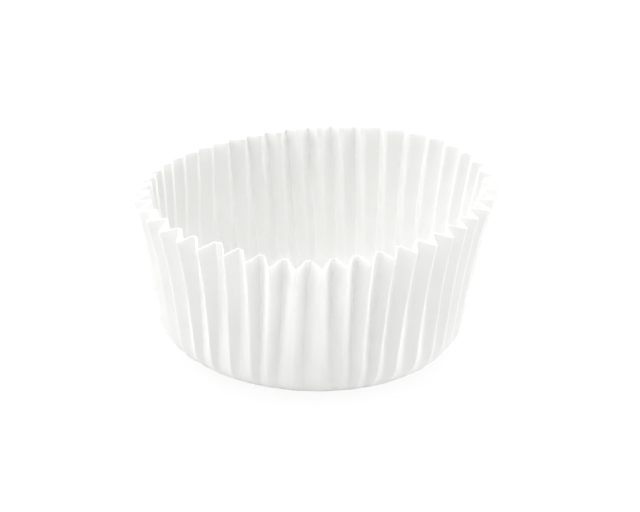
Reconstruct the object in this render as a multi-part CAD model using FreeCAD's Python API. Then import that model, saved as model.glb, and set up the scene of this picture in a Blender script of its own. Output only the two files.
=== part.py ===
"""Cupcake liner: one disc of thin paper pressed into a fluted cup. Millimetres, +Z up.

The origin is the middle of the flat base's underside; the cup stands on that face.
The wall is one fluted sheet. Every fold line runs from the base edge to the cut rim, and the
paper between two fold lines is a strip of flat facets, as creased paper lies. How deep a flute
is follows from the flat blank: the ring of paper at a given slant distance is as long as it
was in the flat disc, so the flutes take up what that ring has over the round of the cup. Only
next to the base, where the press holds the paper smooth, are they shallower than that.
"""
import FreeCAD, Part
import math
import os

# Blank and base
blank_diameter = 114.0
base_diameter = 45.0
paper_thickness = 0.10

# Upright section along an outer fold
heel_radius = 7.1
wall_flare_deg = 8.4
lip_flare_deg = 5.6
lip_starts_at = 0.62

# Flutes
flute_count = 45
crest_flat = 0.85
flutes_start_at = 2.5
flutes_full_at = 8.5
first_fold_deg = 188.3

# The press crowds the flutes unevenly. A fold stands off even spacing by a sum of slow waves
# round the ring, each with its number of waves, size in degrees and phase in degrees
crowding = ((1, 2.3, -2.0), (2, 0.98, 91.0), (3, 0.19, -160.0), (4, 0.38, -167.0), (5, 0.34, -26.0))

# The fold lines do not run straight up: towards the base they drift sideways. The drift is the
# same few degrees for all, slow waves round the ring and three places of the front with a drift
# of their own, each with its azimuth, half width and drift in degrees
drift_deg = -3.6
drift_waves = ((1, 3.3, -159.0), (2, 1.0, -149.0), (3, 1.4, -55.0))
front_drifts = ((-54.0, 12.0, -4.2), (-79.0, 8.0, 1.8), (-96.0, 8.0, -2.6))

# The inner folds near the pinched flute lean to one side: azimuth, half width and lean in degrees
leaning_flutes = (-126.0, 9.0, -1.6)

# The mouth is pressed slightly oval and off the middle, and its edge waves a little
oval_share = 0.081
oval_long_axis_deg = 43.6
wave_share = 0.025
wave_high_axis_deg = 22.8
mouth_shift_x = 0.42
mouth_shift_y = -0.21

# Where the lip is bent by handling: azimuth and half width in degrees, and how far out the rim
# stands there
front_bulge = (-97.0, 13.0, 0.95)
pinched_flute = (-118.5, 5.0, -1.2)
right_bulge = (8.0, 9.0, 0.3)

# Stations along the slant, closer together round the heel
station_shares = (0.0, 0.05, 0.10, 0.155, 0.215, 0.29, 0.39, 0.50, 0.62, 0.75, 0.88, 1.0)

base_radius = base_diameter / 2
slant_length = blank_diameter / 2 - base_radius
half_paper = paper_thickness / 2


def heading(slant):
    """Angle of the section line above the horizontal at this slant distance, radians."""
    upright = math.pi / 2 - math.radians(wall_flare_deg)
    lip = max(0.0, (slant / slant_length - lip_starts_at) / (1 - lip_starts_at))
    return min(slant / heel_radius, upright) - math.radians(lip_flare_deg) * lip


def section_point(slant, steps=400):
    """Radius and height of the paper's middle on an outer fold, by adding short steps."""
    step = slant / steps
    radius = base_radius
    height = half_paper
    for i in range(steps):
        angle = heading((i + 0.5) * step)
        radius += step * math.cos(angle)
        height += step * math.sin(angle)
    return radius, height


def bell(azimuth_deg, middle_deg, half_width_deg):
    """One at the middle azimuth, fading to nothing on both sides of it."""
    off = (azimuth_deg - middle_deg + 180) % 360 - 180
    return math.exp(-(off / half_width_deg) ** 2)


def crest_width(slant):
    """Width of the flattened inner fold, which is narrower towards the base edge."""
    return crest_flat * (0.4 + 0.6 * slant / slant_length)


def fold_depth(slant, radius):
    """Depth of a flute from the length of its leg in the flat blank and its half width.

    It grows from nothing between the two slant distances at which the flutes start and are full.
    """
    flat = crest_width(slant) / 2
    leg = math.pi * (base_radius + slant) / flute_count - flat
    depth = 0.0
    for i in range(20):
        middle = radius - 0.5 * depth * math.sin(heading(slant))
        half_width = math.pi * middle / flute_count - flat
        depth = math.sqrt(max(leg * leg - half_width * half_width, 0.0))
    share = (slant - flutes_start_at) / (flutes_full_at - flutes_start_at)
    share = min(max(share, 0.0), 1.0)
    return depth * share * share * (3 - 2 * share)


rim_height = section_point(slant_length)[1]


def bend(azimuth):
    """How far the rim stands out at this azimuth, from the places where handling bent it."""
    total = 0.0
    for middle_deg, half_width_deg, push in (front_bulge, pinched_flute, right_bulge):
        total += push * bell(math.degrees(azimuth), middle_deg, half_width_deg)
    return total


def place(radius, height, azimuth):
    """Puts a point of the round cup into the oval, shifted mouth and the waving, bent edge."""
    rise = max(0.0, height - paper_thickness) / (rim_height - paper_thickness)
    oval = oval_share * rise * math.cos(2 * (azimuth - math.radians(oval_long_axis_deg)))
    wave = wave_share * rise * math.cos(2 * (azimuth - math.radians(wave_high_axis_deg)))
    reach = radius * (1 + oval) + rise * rise * bend(azimuth)
    return FreeCAD.Vector(reach * math.cos(azimuth) + rise * mouth_shift_x,
                          reach * math.sin(azimuth) + rise * mouth_shift_y,
                          height * (1 + wave))


def ring_waves(waves_list, even):
    """Sum of slow waves round the ring, degrees; each is its number, its size and its phase."""
    return sum(size * math.sin(waves * even + math.radians(phase)) for waves, size, phase in waves_list)


def fold_azimuth(number, share):
    """Azimuth of an outer fold by its number, at this share of the slant.

    It is the even spacing, the crowding, and the drift, which grows from the rim to the base.
    """
    even = math.radians(first_fold_deg) + 2 * math.pi * number / flute_count
    drift = drift_deg + ring_waves(drift_waves, even)
    for middle_deg, half_width_deg, size in front_drifts:
        drift += size * bell(math.degrees(even), middle_deg, half_width_deg)
    return even + math.radians(ring_waves(crowding, even) + (1 - share) * drift)


def inner_azimuth(number, share):
    """Azimuth of the middle of the inner fold that follows an outer fold."""
    middle = (fold_azimuth(number, share) + fold_azimuth(number + 1, share)) / 2
    lean = leaning_flutes[2] * bell(math.degrees(middle), leaning_flutes[0], leaning_flutes[1])
    return middle + math.radians(lean)


def skin_rings(side):
    """One closed ring of corners per station for one skin, side +1 outside and -1 inside.

    Per flute: the outer fold, then the two edges of the inner fold's flat crest. A corner of
    the skin lies where the shifted legs meet, half a paper thickness off the middle.
    """
    rings = []
    for share in station_shares:
        slant = share * slant_length
        radius, height = section_point(slant)
        angle = heading(slant)
        depth = fold_depth(slant, radius)
        half_crest = crest_width(slant) / 2
        half_width = math.pi * (radius - 0.5 * depth * math.sin(angle)) / flute_count
        lean = math.atan2(depth, half_width - half_crest)
        fold_shift = -side * half_paper / math.cos(lean)
        crest_shift = depth - side * half_paper
        half_crest -= side * half_paper * math.tan(lean / 2)
        turn = half_crest / (radius - crest_shift * math.sin(angle))
        ring = []
        for i in range(flute_count):
            start = fold_azimuth(i, share)
            middle = inner_azimuth(i, share)
            corners = ((fold_shift, start), (crest_shift, middle - turn), (crest_shift, middle + turn))
            for inward, azimuth in corners:
                ring.append(place(radius - inward * math.sin(angle),
                                  height + inward * math.cos(angle), azimuth))
        rings.append(ring)
    return rings


def facet(*corners):
    """A flat face through its corners."""
    return Part.Face(Part.makePolygon(list(corners) + [corners[0]]))


outside = skin_rings(1)
inside = skin_rings(-1)
corner_count = 3 * flute_count
faces = []

# The two skins of the wall: strips of facets between neighbouring fold lines, with the
# diagonal of each strip always rising from the outer fold towards the inner one
for rings in (outside, inside):
    for low, high in zip(rings, rings[1:]):
        for i in range(corner_count):
            j = (i + 1) % corner_count
            if i % 3 == 0:
                faces.append(facet(low[i], low[j], high[j]))
                faces.append(facet(low[i], high[j], high[i]))
            else:
                faces.append(facet(low[i], low[j], high[i]))
                faces.append(facet(low[j], high[j], high[i]))

# The cut rim: the paper's thickness on every leg and crest
outer_rim = outside[-1]
inner_rim = inside[-1]
for i in range(corner_count):
    j = (i + 1) % corner_count
    faces.append(facet(outer_rim[i], outer_rim[j], inner_rim[j]))
    faces.append(facet(outer_rim[i], inner_rim[j], inner_rim[i]))

# The flat base, underside and upper side
faces.append(facet(*outside[0]))
faces.append(facet(*inside[0]))

shell = Part.makeCompound(faces)
shell.sewShape(0.0005)
cup = Part.Solid(shell.Shells[0])
if cup.Volume < 0:
    cup.reverse()

os.makedirs("parts", exist_ok=True)
cup.exportStep("parts/fluted_cup.step")
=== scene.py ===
import math

import bpy
import numpy as np
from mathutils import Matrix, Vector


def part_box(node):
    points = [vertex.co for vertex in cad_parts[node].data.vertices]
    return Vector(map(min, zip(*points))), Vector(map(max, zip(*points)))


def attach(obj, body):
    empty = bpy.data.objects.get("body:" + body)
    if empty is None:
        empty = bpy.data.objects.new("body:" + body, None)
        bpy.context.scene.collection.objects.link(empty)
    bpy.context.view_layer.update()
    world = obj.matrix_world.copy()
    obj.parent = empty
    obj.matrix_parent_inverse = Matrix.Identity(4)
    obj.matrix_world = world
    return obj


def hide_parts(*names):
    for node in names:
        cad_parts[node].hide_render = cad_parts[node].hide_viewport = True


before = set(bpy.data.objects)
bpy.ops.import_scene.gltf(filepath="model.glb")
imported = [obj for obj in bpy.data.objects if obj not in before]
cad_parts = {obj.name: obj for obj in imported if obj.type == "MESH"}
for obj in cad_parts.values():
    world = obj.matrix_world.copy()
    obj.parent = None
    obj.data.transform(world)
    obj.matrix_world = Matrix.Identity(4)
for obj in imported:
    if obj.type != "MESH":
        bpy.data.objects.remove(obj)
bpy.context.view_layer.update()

# The fluted cup: one disc of thin white baking paper, pressed between two grooved rings so
# that its wall gathers into flutes. It has no glue, and it stands on the flat middle that the
# press left smooth. Outer folds are tight, inner folds have a narrow flat crest.
blank_radius = 0.0570
base_radius = 0.0225
slant_length = blank_radius - base_radius
heel_radius = 0.0071
wall_flare = math.radians(8.4)
lip_flare = math.radians(5.6)
lip_starts = 0.62
paper_gauge = 0.00010
flutes = 45
first_fold = math.radians(188.3)
crest_flat = 0.00085
flutes_start = 0.0025
flutes_full = 0.0085

# The mouth is pressed slightly oval and off the middle, and its edge waves a little
oval_share = 0.081
oval_axis = math.radians(43.6)
wave_share = 0.025
wave_axis = math.radians(22.8)
mouth_shift = (0.00042, -0.00021)

# The flutes are crowded by slow waves round the ring, and their fold lines drift sideways
# towards the base; a wave has its number, size in degrees and phase in degrees
crowding = ((1, 2.3, -2), (2, 0.98, 91), (3, 0.19, -160), (4, 0.38, -167), (5, 0.34, -26))
steady_drift = -3.6
drift_waves = ((1, 3.3, -159), (2, 1.0, -149), (3, 1.4, -55))

# Places with a shape of their own, each with its azimuth and half width in degrees and its
# size: drifts and leans of fold lines in degrees, bulges and the pinched flute in metres, and
# for the arched legs how far the arch is pushed past its threshold
front_drifts = ((-54, 12, -4.2), (-79, 8, 1.8), (-96, 8, -2.6))
bent_places = ((-97, 13, 0.00095), (-118.5, 5, -0.0012), (8, 9, 0.0003))
lean_beside_pinch = ((-126, 9, 1.6),)
lean_in_front = ((-92, 20, 0.5),)
arched_front = ((-90, 22, 2.2),)


def upright_section(slant):
    """Radius, height and heading of the wall's section line at each slant distance.

    The heading turns evenly from level to the wall's flare round the heel, and leans out
    again through the lip; radius and height are its running sums along the paper.
    """
    steps = np.linspace(0, slant_length, 2401)
    lip = np.clip((steps / slant_length - lip_starts) / (1 - lip_starts), 0, None)
    heading = np.minimum(steps / heel_radius, math.pi / 2 - wall_flare) - lip_flare * lip
    middle = 0.5 * (heading[1:] + heading[:-1])
    radius = base_radius + np.concatenate([[0], np.cumsum(np.cos(middle) * np.diff(steps))])
    height = paper_gauge / 2 + np.concatenate([[0], np.cumsum(np.sin(middle) * np.diff(steps))])
    return (np.interp(slant, steps, radius), np.interp(slant, steps, height),
            np.interp(slant, steps, heading))


def flute_depth(slant, radius, heading):
    """How deep the flutes are at each slant distance, and the crest's share of a half flute.

    A leg is as wide as in the flat blank, half a flute of the ring there less half the crest,
    and spans half a flute of the cup's round less half the crest, so the depth is the third
    side of that right triangle. The crest narrows evenly to two fifths at the base edge. Next
    to the base the depth grows from nothing, as the press held the paper smooth there.
    """
    crest = 0.5 * crest_flat * (0.4 + 0.6 * slant / slant_length)
    leg = math.pi * (base_radius + slant) / flutes - crest
    depth = np.zeros_like(slant)
    for repeat in range(12):
        half = math.pi * (radius - 0.5 * depth * np.sin(heading)) / flutes
        depth = np.sqrt(np.maximum(leg ** 2 - (half - crest) ** 2, 0))
    grown = np.clip((slant - flutes_start) / (flutes_full - flutes_start), 0, 1)
    return depth * grown ** 2 * (3 - 2 * grown), crest / half


def bells(azimuth, places):
    """Sum of one bell per place: its size at its middle azimuth, fading to nothing beside it.

    A bell is its size times e to the power of minus the square of how many half widths an
    azimuth is off its middle. The azimuth is in radians, a middle and half width in degrees.
    """
    total = np.zeros_like(azimuth)
    for middle, half_width, size in places:
        off = (np.degrees(azimuth) - middle + 180) % 360 - 180
        total = total + size * np.exp(-(off / half_width) ** 2)
    return total


def ring_waves(waves_list, turn):
    """Sum of slow waves round the ring in degrees: each is its size times a sine."""
    return sum(size * np.sin(waves * turn + math.radians(phase))
               for waves, size, phase in waves_list)


def crowded(turn, along):
    """Azimuth of a place round the ring at each share of the slant.

    It is the even turn, the crowding at that turn, and the drift there, which grows evenly from
    nothing at the rim to its full size at the base.
    """
    spacing = ring_waves(crowding, turn)
    drift = steady_drift + ring_waves(drift_waves, turn) + bells(turn, front_drifts)
    return turn[None, :] + np.radians(spacing[None, :] + (1 - along[:, None]) * drift[None, :])


def rounded(share, softness):
    """Runs from 0 to 1 like its input, but leaves 0 with a small round instead of a corner.

    It is a hyperbola that starts level at 0 and soon runs beside the straight line.
    """
    return (np.sqrt(share ** 2 + softness ** 2) - softness) / (np.sqrt(1 + softness ** 2) - softness)


# How a leg runs between its folds. The rim's own shape fades out over a share of the slant, a
# fold's roundness is a share of the leg, and what the crest loses is a share of its width
rim_band = 0.15
inner_round, inner_rounder_below_rim = 0.08, 0.06
outer_round, outer_rounder_below_rim = 0.04, 0.05
crest_lost_below_rim, crest_lost_in_front = 0.5, 0.4
arch_power = 0.4
arch_threshold = 0.6


def way_inwards(towards_inner, azimuth, below_rim, crest):
    """Share of the flute's depth that each place of a leg stands in from the outer fold.

    It is the share of the way from the outer fold to the crest's edge, rounded at both folds.
    Below the rim the crest is half as wide and the folds are rounder. At the very front the
    crest is narrower still, and a power of the share arches the legs, so that they meet in a
    sharp inner fold.
    """
    arched = np.clip(bells(azimuth, arched_front) - arch_threshold, 0, 1) * below_rim
    crest_kept = 1 - crest_lost_below_rim * below_rim - crest_lost_in_front * arched
    up_the_leg = np.minimum(towards_inner / (1 - crest[:, None] * crest_kept), 1)
    soft_inner = inner_round + inner_rounder_below_rim * (below_rim - arched)
    soft_outer = outer_round + outer_rounder_below_rim * (below_rim + arched)
    arch = up_the_leg ** (1 + arch_power * arched)
    return rounded(1 - rounded(1 - arch, soft_inner), soft_outer)


# Handling leaves the folds and legs a little off their true lines, by so many metres. Over the
# first quarter of the slant this grows from nothing
fold_in_and_out = 0.00006
fold_sideways = 0.00007
leg_bow = 0.00005
base_band = 0.25


def wander(rng, along, waves, size):
    """A slow random drift for each fold line, a sum of a few half waves up the slant."""
    drift = np.zeros((len(along), 2 * flutes))
    for wave in range(waves):
        part = rng.normal(0, size / (1 + wave), 2 * flutes)
        drift += part[None, :] * np.cos(math.pi * wave * along)[:, None]
    return drift


def between_folds(values, place):
    """Values kept per fold line, carried straight across the legs to every column."""
    low = np.floor(place).astype(int)
    share = place - low
    lines = values.shape[1]
    return values[:, low % lines] * (1 - share) + values[:, (low + 1) % lines] * share


def fluted_paper():
    """Points of the paper's middle surface, rows from the base edge to the rim, and its blank.

    A column's place counts fold lines, even ones outside and odd ones inside. It moves inwards
    along the section's normal by the flute's depth times its share of the way to the inner
    fold. The oval, the wave and the shift of the mouth then grow in step with the height, and
    the bends of the lip with its square.
    """
    rng = np.random.default_rng(45)
    half_flute = np.array([0, 0.02, 0.05, 0.10, 0.18, 0.34, 0.54, 0.72, 0.81, 0.88])
    flute = np.concatenate([half_flute, 2 - np.append(half_flute, 1)[:0:-1]])
    place = (2 * np.arange(flutes)[:, None] + flute[None, :]).ravel()
    towards_inner = (1 - np.abs(place % 2 - 1))[None, :]
    along = np.concatenate([np.linspace(0, 0.30, 15), np.linspace(0.33, 0.98, 23),
                            [0.985, 0.990, 0.995, 1.0]])
    below_rim = np.clip((1 - along) / rim_band, 0, 1)[:, None]
    above_base = np.clip(along / base_band, 0, 1)[:, None]
    slant = along * slant_length
    radius, height, heading = upright_section(slant)
    depth, crest = flute_depth(slant, radius, heading)
    azimuth = crowded(first_fold + math.pi * place / flutes, along)

    inward = depth[:, None] * way_inwards(towards_inner, azimuth, below_rim, crest)
    inward = inward + above_base * between_folds(wander(rng, along, 3, fold_in_and_out), place)
    leg = np.floor(place).astype(int)
    bow = wander(rng, along, 4, leg_bow)[:, leg]
    inward = inward + above_base * bow * np.sin(math.pi * (place - leg))[None, :]
    lean = bells(azimuth, lean_beside_pinch) + below_rim * bells(azimuth, lean_in_front)
    azimuth = azimuth - np.radians(lean) * towards_inner
    sideways = above_base * between_folds(wander(rng, along, 3, fold_sideways), place)
    azimuth = azimuth + sideways / radius[:, None]

    ring = radius[:, None] - inward * np.sin(heading)[:, None]
    lift = height[:, None] + inward * np.cos(heading)[:, None]
    rise = np.clip(lift - paper_gauge, 0, None) / (height[-1] - paper_gauge)
    ring = ring * (1 + oval_share * rise * np.cos(2 * (azimuth - oval_axis)))
    ring = ring + rise ** 2 * bells(azimuth, bent_places)
    lift = lift * (1 + wave_share * rise * np.cos(2 * (azimuth - wave_axis)))
    across_x = ring * np.cos(azimuth) + rise * mouth_shift[0]
    across_y = ring * np.sin(azimuth) + rise * mouth_shift[1]
    return np.stack([across_x, across_y, lift], -1), place, azimuth, base_radius + slant


def surface_normals(points):
    """Outward unit normals of a closed ring grid, across its rows and columns."""
    up = np.gradient(points, axis=0)
    around = np.roll(points, -1, axis=1) - np.roll(points, 1, axis=1)
    normal = np.cross(around, up)
    return normal / np.linalg.norm(normal, axis=-1, keepdims=True)


# Two skins, half the paper's gauge off its middle surface; the first row is the level base edge
wall, place, azimuth, blank_distance = fluted_paper()
normal = surface_normals(wall)
normal[0] = (0, 0, -1)
outside = wall + normal * paper_gauge / 2
inside = wall - normal * paper_gauge / 2

# The flat base is the same sheet: rings of both skins shrink to a point in the middle
base_shares = np.array([0.03, 0.2, 0.42, 0.64, 0.84, 0.95])
under_base = outside[0][None] * np.array([1, 1, 0]) * base_shares[:, None, None]
upper_base = under_base + np.array([0, 0, paper_gauge])
outside = np.concatenate([under_base, outside])
inside = np.concatenate([upper_base, inside])
points = np.concatenate([outside.reshape(-1, 3), inside.reshape(-1, 3),
                         [[0, 0, 0], [0, 0, paper_gauge]]])

# Faces: both skins, the cut edge between them, and a fan round each skin's middle point
rows, columns = outside.shape[:2]
skin = rows * columns
grid = np.arange(skin).reshape(rows, columns)
low, high = grid[:-1], grid[1:]
beside_low, beside_high = np.roll(low, -1, axis=1), np.roll(high, -1, axis=1)
outer_faces = np.stack([low, beside_low, beside_high, high], -1).reshape(-1, 4)
inner_faces = outer_faces[:, ::-1] + skin
rim, beside_rim = grid[-1], np.roll(grid[-1], -1)
rim_faces = np.stack([rim, beside_rim, beside_rim + skin, rim + skin], -1)
hub, beside_hub = grid[0], np.roll(grid[0], -1)
middle_point = np.full(columns, 2 * skin)
outer_fan = np.stack([beside_hub, hub, middle_point], -1)
inner_fan = np.stack([hub + skin, beside_hub + skin, middle_point + 1], -1)
faces = []
for group in (outer_faces, inner_faces, rim_faces, outer_fan, inner_fan):
    faces.extend(group.tolist())

paper_mesh = bpy.data.meshes.new("fluted_paper_cup")
paper_mesh.from_pydata(points.tolist(), [], faces)
paper_mesh.validate()
paper_mesh.shade_smooth()
paper_mesh.set_sharp_from_angle(angle=math.radians(55))
corner_point = np.empty(len(paper_mesh.loops), dtype=np.int32)
paper_mesh.loops.foreach_get("vertex_index", corner_point)


def keep_map(name, across, up, middle):
    """A UV map of both skins from a grid of values each way, and one value for the middles."""
    one_skin = np.stack(np.broadcast_arrays(across, up), -1).reshape(-1, 2)
    values = np.concatenate([one_skin, one_skin, [middle, middle]]).astype(np.float32)
    paper_mesh.uv_layers.new(name=name).uv.foreach_set("vector", values[corner_point].ravel())


# Two maps of the paper: where each point lay in the flat disc, which is 1 across, and its turn
# round the ring against its distance from the disc's middle, both from 0 to 1
distance = np.concatenate([base_shares * base_radius, blank_distance])[:, None]
from_middle = distance / blank_radius
turn = (first_fold + math.pi * place / flutes)[None, :]
keep_map("flat_blank", 0.5 + 0.5 * from_middle * np.cos(turn),
         0.5 + 0.5 * from_middle * np.sin(turn), [0.5, 0.5])
keep_map("along_folds", (turn - first_fold) / (2 * math.pi), from_middle, [0.5, 0])

# Three masks: a painted highlight, with a little whitening from creasing, on the tenth of a leg
# beside each fold, growing from nothing over the first 6 mm from the base edge; a painted
# highlight on the last third of a millimetre at the cut edge; and short creases that handling
# left in a leg at five places of the front, by azimuth and share of the slant
fold_band = 0.2
smooth_at_base = 0.006
edge_band = 0.0003
creased_places = ((-79.6, 0.49), (-64.9, 0.70), (-56.4, 0.67), (-49.3, 0.63), (-46.7, 0.32))
crease_half_width, crease_half_length = 1.8, 0.05
to_fold = np.abs(place % 1 - 0.5)[None, :] * 2
# The fold mask carries a painted highlight, with a little whitening from creasing
near_fold = np.clip((to_fold - 1 + fold_band) / fold_band, 0, 1)
near_fold = near_fold * np.clip((distance - base_radius) / smooth_at_base, 0, 1)
# The cut edge mask carries a painted highlight on the colour, and also more light through the sheet
near_rim = np.clip(1.2 - (blank_radius - distance) / edge_band, 0, 1) * np.ones((1, columns))
up_slant = (distance - base_radius) / slant_length
around = np.concatenate([np.repeat(azimuth[:1], len(base_shares), 0), azimuth])
creased = np.zeros((rows, columns))
for middle, share in creased_places:
    beside = bells(around, ((middle, crease_half_width, 1),))
    creased = creased + beside * np.exp(-((up_slant - share) / crease_half_length) ** 2)
for name, mask_grid in (("fold_highlight_and_wear", near_fold), ("cut_edge", near_rim), ("creased", creased)):
    both_skins = np.concatenate([mask_grid.ravel(), mask_grid.ravel(), [0, 0]]).astype(np.float32)
    paper_mesh.attributes.new(name, "FLOAT", "POINT").data.foreach_set("value", both_skins)

fluted_cup = bpy.data.objects.new("fluted_paper_cup", paper_mesh)
bpy.context.scene.collection.objects.link(fluted_cup)
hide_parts("fluted_cup")
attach(fluted_cup, "root")

# Baking paper: bleached greaseproof pulp, matt, thin enough to let a good part of the light
# through. Its pulp clouds and fibres lie in the flat disc and read its map, its short creases
# read the map along the folds, and painted highlights lighten the colour at the folds and the
# cut edge where their masks say so; at the folds a little of it is whitening from creasing.
pulp_thin = (0.875, 0.875, 0.866, 1)
pulp_thick = (0.905, 0.905, 0.897, 1)
fibre_white = (0.935, 0.935, 0.928, 1)
# The next two colours are painted highlights for the folds and the cut edge; at the folds a little
# of it is whitening from creasing
fold_highlight_white = (0.945, 0.945, 0.939, 1)
edge_highlight_white = (0.950, 0.950, 0.945, 1)
light_through = (0.905, 0.905, 0.896, 1)
share_through, share_through_edge = 0.31, 0.42
fibre_turn = 35
cloud_cells = (16, 16)
fibre_cells = (420, 92)
crease_cells = (620, 17)
paper = bpy.data.materials.new("baking_paper")
paper.use_nodes = True
paper_tree = paper.node_tree
paper_tree.nodes.clear()


def node(tree, kind, sockets=None, **settings):
    """A new node of a tree, with its settings and the values of some of its input sockets."""
    made = tree.nodes.new(kind)
    for name, value in settings.items():
        setattr(made, name, value)
    for name, value in (sockets or {}).items():
        made.inputs[name].default_value = value
    return made


def noise(layer, turn_deg, cells, detail):
    """A noise on one of the paper's maps, turned and scaled to that many cells each way."""
    laid = node(paper_tree, "ShaderNodeUVMap", uv_map=layer)
    turned = node(paper_tree, "ShaderNodeMapping",
                  {"Rotation": (0, 0, math.radians(turn_deg)), "Scale": (*cells, 1)})
    pattern = node(paper_tree, "ShaderNodeTexNoise",
                   {"Scale": 1.0, "Detail": detail, "Roughness": 0.6})
    paper_tree.links.new(laid.outputs["UV"], turned.inputs["Vector"])
    paper_tree.links.new(turned.outputs["Vector"], pattern.inputs["Vector"])
    return pattern.outputs["Fac"]


def mask(name):
    """One of the paper's masks, kept on its points."""
    return node(paper_tree, "ShaderNodeAttribute", attribute_name=name).outputs["Fac"]


def ramp(value, low, high, to_low, to_high):
    """Carries a value from one range to another, held at its ends."""
    spread = node(paper_tree, "ShaderNodeMapRange",
                  {"From Min": low, "From Max": high, "To Min": to_low, "To Max": to_high})
    paper_tree.links.new(value, spread.inputs["Value"])
    return spread.outputs["Result"]


def blend(share, first, second):
    """Carries a colour output, or a colour, towards a second colour by a share."""
    mix = node(paper_tree, "ShaderNodeMix", data_type="RGBA")
    mix.inputs["B"].default_value = second
    if isinstance(first, tuple):
        mix.inputs["A"].default_value = first
    else:
        paper_tree.links.new(first, mix.inputs["A"])
    paper_tree.links.new(share, mix.inputs["Factor"])
    return mix.outputs["Result"]


def relief(height, strength, depth, under=None):
    """A bump of that depth in metres, laid over another bump's normal."""
    bump = node(paper_tree, "ShaderNodeBump", {"Strength": strength, "Distance": depth})
    paper_tree.links.new(height, bump.inputs["Height"])
    if under is not None:
        paper_tree.links.new(under, bump.inputs["Normal"])
    return bump.outputs["Normal"]


clouds = noise("flat_blank", fibre_turn, cloud_cells, 3)
fibres = noise("flat_blank", fibre_turn, fibre_cells, 4)
short_creases = noise("along_folds", 0, crease_cells, 1)
pulp = blend(ramp(clouds, 0.3, 0.7, 0, 1), pulp_thin, pulp_thick)
pulp = blend(ramp(fibres, 0.35, 0.75, 0, 0.35), pulp, fibre_white)
# Painted highlight along the folds, with a little whitening from creasing
pulp = blend(ramp(mask("fold_highlight_and_wear"), 0, 1, 0, 0.5), pulp, fold_highlight_white)
# Painted highlight on the last third of a millimetre at the cut edge
pulp = blend(mask("cut_edge"), pulp, edge_highlight_white)
crease_height = node(paper_tree, "ShaderNodeMath", operation="MULTIPLY")
paper_tree.links.new(ramp(short_creases, 0.45, 0.62, 0, 1), crease_height.inputs[0])
paper_tree.links.new(mask("creased"), crease_height.inputs[1])
grain = relief(fibres, 0.35, 0.00003)
creases = relief(crease_height.outputs["Value"], 0.8, 0.00012, grain)

# The sheet sends most of the light back and lets the rest through, a little more at the cut edge
sheet = node(paper_tree, "ShaderNodeBsdfPrincipled", {"Specular IOR Level": 0.3})
through = node(paper_tree, "ShaderNodeBsdfTranslucent", {"Color": light_through})
both_ways = node(paper_tree, "ShaderNodeMixShader")
paper_out = node(paper_tree, "ShaderNodeOutputMaterial")
paper_tree.links.new(pulp, sheet.inputs["Base Color"])
paper_tree.links.new(ramp(fibres, 0.2, 0.8, 0.62, 0.78), sheet.inputs["Roughness"])
paper_tree.links.new(creases, sheet.inputs["Normal"])
paper_tree.links.new(ramp(mask("cut_edge"), 0, 1, share_through, share_through_edge),
                     both_ways.inputs["Fac"])
paper_tree.links.new(sheet.outputs["BSDF"], both_ways.inputs[1])
paper_tree.links.new(through.outputs["BSDF"], both_ways.inputs[2])
paper_tree.links.new(both_ways.outputs["Shader"], paper_out.inputs["Surface"])
paper_mesh.materials.append(paper)

# The table top: a plain white sheet under the cup, at the height of the cup's lowest point.
# Seen by the camera it is white, and the cup's shadow stays on it.
table_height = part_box("fluted_cup")[0][2]
table_reach = 1.5
table_seen = 0.92
table_paint = (0.9, 0.9, 0.9, 1)
table_corners = []
for side_x, side_y in ((-1, -1), (1, -1), (1, 1), (-1, 1)):
    table_corners.append((table_reach * side_x, table_reach * side_y, table_height))
table_mesh = bpy.data.meshes.new("table_top")
table_mesh.from_pydata(table_corners, [], [(0, 1, 2, 3)])
table = bpy.data.objects.new("table_top", table_mesh)
bpy.context.scene.collection.objects.link(table)


def clamped(tree, kind, first, second):
    """The sum or the difference of two values, held between 0 and 1."""
    made = node(tree, "ShaderNodeMath", operation=kind, use_clamp=True)
    tree.links.new(first, made.inputs[0])
    tree.links.new(second, made.inputs[1])
    return made.outputs["Value"]


def backdrop_rays(tree):
    """One for rays that should see the white backdrop, and zero for the others.

    They are the camera's rays, mirrored ones, and straight ones through glass. Light that
    spreads from paper or through it gets zero.
    """
    ray = node(tree, "ShaderNodeLightPath").outputs
    straight = clamped(tree, "SUBTRACT", ray["Is Transmission Ray"], ray["Is Diffuse Ray"])
    seen = clamped(tree, "ADD", ray["Is Camera Ray"], ray["Is Glossy Ray"])
    return clamped(tree, "ADD", seen, straight)


table_white = bpy.data.materials.new("table_white")
table_white.use_nodes = True
table_tree = table_white.node_tree
table_tree.nodes.clear()
table_share = node(table_tree, "ShaderNodeMath", {1: table_seen}, operation="MULTIPLY")
table_matt = node(table_tree, "ShaderNodeBsdfDiffuse", {"Color": table_paint})
table_glow = node(table_tree, "ShaderNodeEmission", {"Strength": 1.0})
table_mix = node(table_tree, "ShaderNodeMixShader")
table_out = node(table_tree, "ShaderNodeOutputMaterial")
table_tree.links.new(backdrop_rays(table_tree), table_share.inputs[0])
table_tree.links.new(table_share.outputs["Value"], table_mix.inputs["Fac"])
table_tree.links.new(table_matt.outputs["BSDF"], table_mix.inputs[1])
table_tree.links.new(table_glow.outputs["Emission"], table_mix.inputs[2])
table_tree.links.new(table_mix.outputs["Shader"], table_out.inputs["Surface"])
table_mesh.materials.append(table_white)

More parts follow.
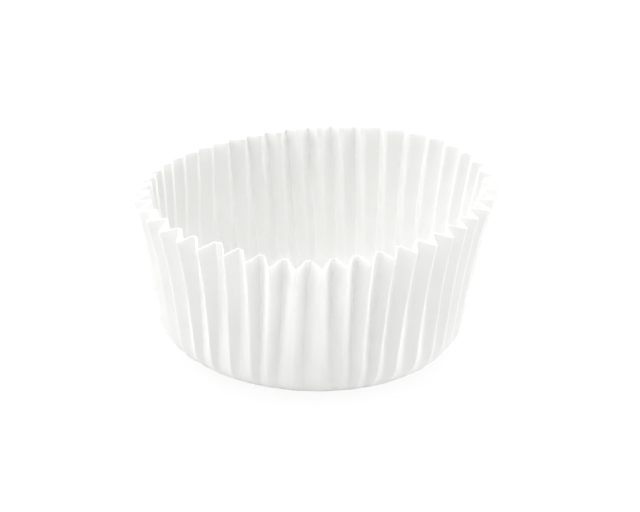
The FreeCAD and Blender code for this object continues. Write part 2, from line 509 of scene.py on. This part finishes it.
# Studio light: a tent all round that is white to the camera and nearly dark to the paper, and
# seven soft boxes 0.9 m away. The strongest stands low behind the cup and shines through its
# back wall; the next ones are at its back right, above it and at its left.
tent_dim, tent_white = 0.02, 1.0
tent = bpy.data.worlds.new("light_tent")
bpy.context.scene.world = tent
tent.use_nodes = True
tent_tree = tent.node_tree
tent_tree.nodes.clear()
tent_level = node(tent_tree, "ShaderNodeMapRange", {"To Min": tent_dim, "To Max": tent_white})
tent_glow = node(tent_tree, "ShaderNodeBackground", {"Color": (1, 1, 1, 1)})
tent_out = node(tent_tree, "ShaderNodeOutputWorld")
tent_tree.links.new(backdrop_rays(tent_tree), tent_level.inputs["Value"])
tent_tree.links.new(tent_level.outputs["Result"], tent_glow.inputs["Strength"])
tent_tree.links.new(tent_glow.outputs["Background"], tent_out.inputs["Surface"])
soft_box_width = 0.9


def soft_box(name, stands_at, watts):
    """A square soft box at that place, tilted and turned to face the cup."""
    lamp = bpy.data.lights.new(name, "AREA")
    lamp.shape = "SQUARE"
    lamp.size = soft_box_width
    lamp.energy = watts
    box = bpy.data.objects.new(name, lamp)
    bpy.context.scene.collection.objects.link(box)
    box.location = stands_at
    facing = -np.array(stands_at) / np.linalg.norm(stands_at)
    tilt = math.acos(-facing[2])
    box.rotation_euler = (tilt, 0, math.atan2(facing[1], facing[0]) - math.pi / 2)


soft_box("soft_box_left", (-0.737, 0.0, 0.516), 4.3)
soft_box("soft_box_front_left", (-0.521, -0.521, 0.516), 2.8)
soft_box("soft_box_back_left", (-0.487, 0.487, 0.579), 2.9)
soft_box("soft_box_low_right", (0.766, -0.357, 0.308), 2.4)
soft_box("soft_box_back_right", (0.766, 0.279, 0.380), 6.2)
soft_box("soft_box_overhead", (0.0, 0.03, 0.899), 5.7)
soft_box("soft_box_back", (0.0, 0.856, 0.278), 12.6)

# The camera, as the photograph was taken: about half a metre off, 25 degrees above the table,
# tilted by two degrees.
photo_width = 640
camera_elevation = math.radians(24.9)
camera_distance = 0.5235
focal_pixels = 2744
aim = np.array([0.00142, 0.0, 0.0164])
roll = math.radians(2.14)
camera_data = bpy.data.cameras.new("camera")
camera_data.sensor_width = 36
camera_data.lens = focal_pixels / photo_width * camera_data.sensor_width
camera_data.clip_start = 0.01
camera = bpy.data.objects.new("camera", camera_data)
bpy.context.scene.collection.objects.link(camera)
back = np.array([0, -math.cos(camera_elevation), math.sin(camera_elevation)])
level = np.array([1.0, 0, 0])
upward = np.cross(back, level)
rolled_level = level * math.cos(roll) + upward * math.sin(roll)
rolled_upward = -level * math.sin(roll) + upward * math.cos(roll)
camera_axes = np.stack([rolled_level, rolled_upward, back], 1)
camera.location = aim + back * camera_distance
camera.rotation_mode = "XYZ"
camera.rotation_euler = (math.atan2(camera_axes[2, 1], camera_axes[2, 2]),
                         math.asin(-camera_axes[2, 0]),
                         math.atan2(camera_axes[1, 0], camera_axes[0, 0]))
bpy.context.scene.camera = camera

view = bpy.context.scene.view_settings
view.view_transform = "Standard"
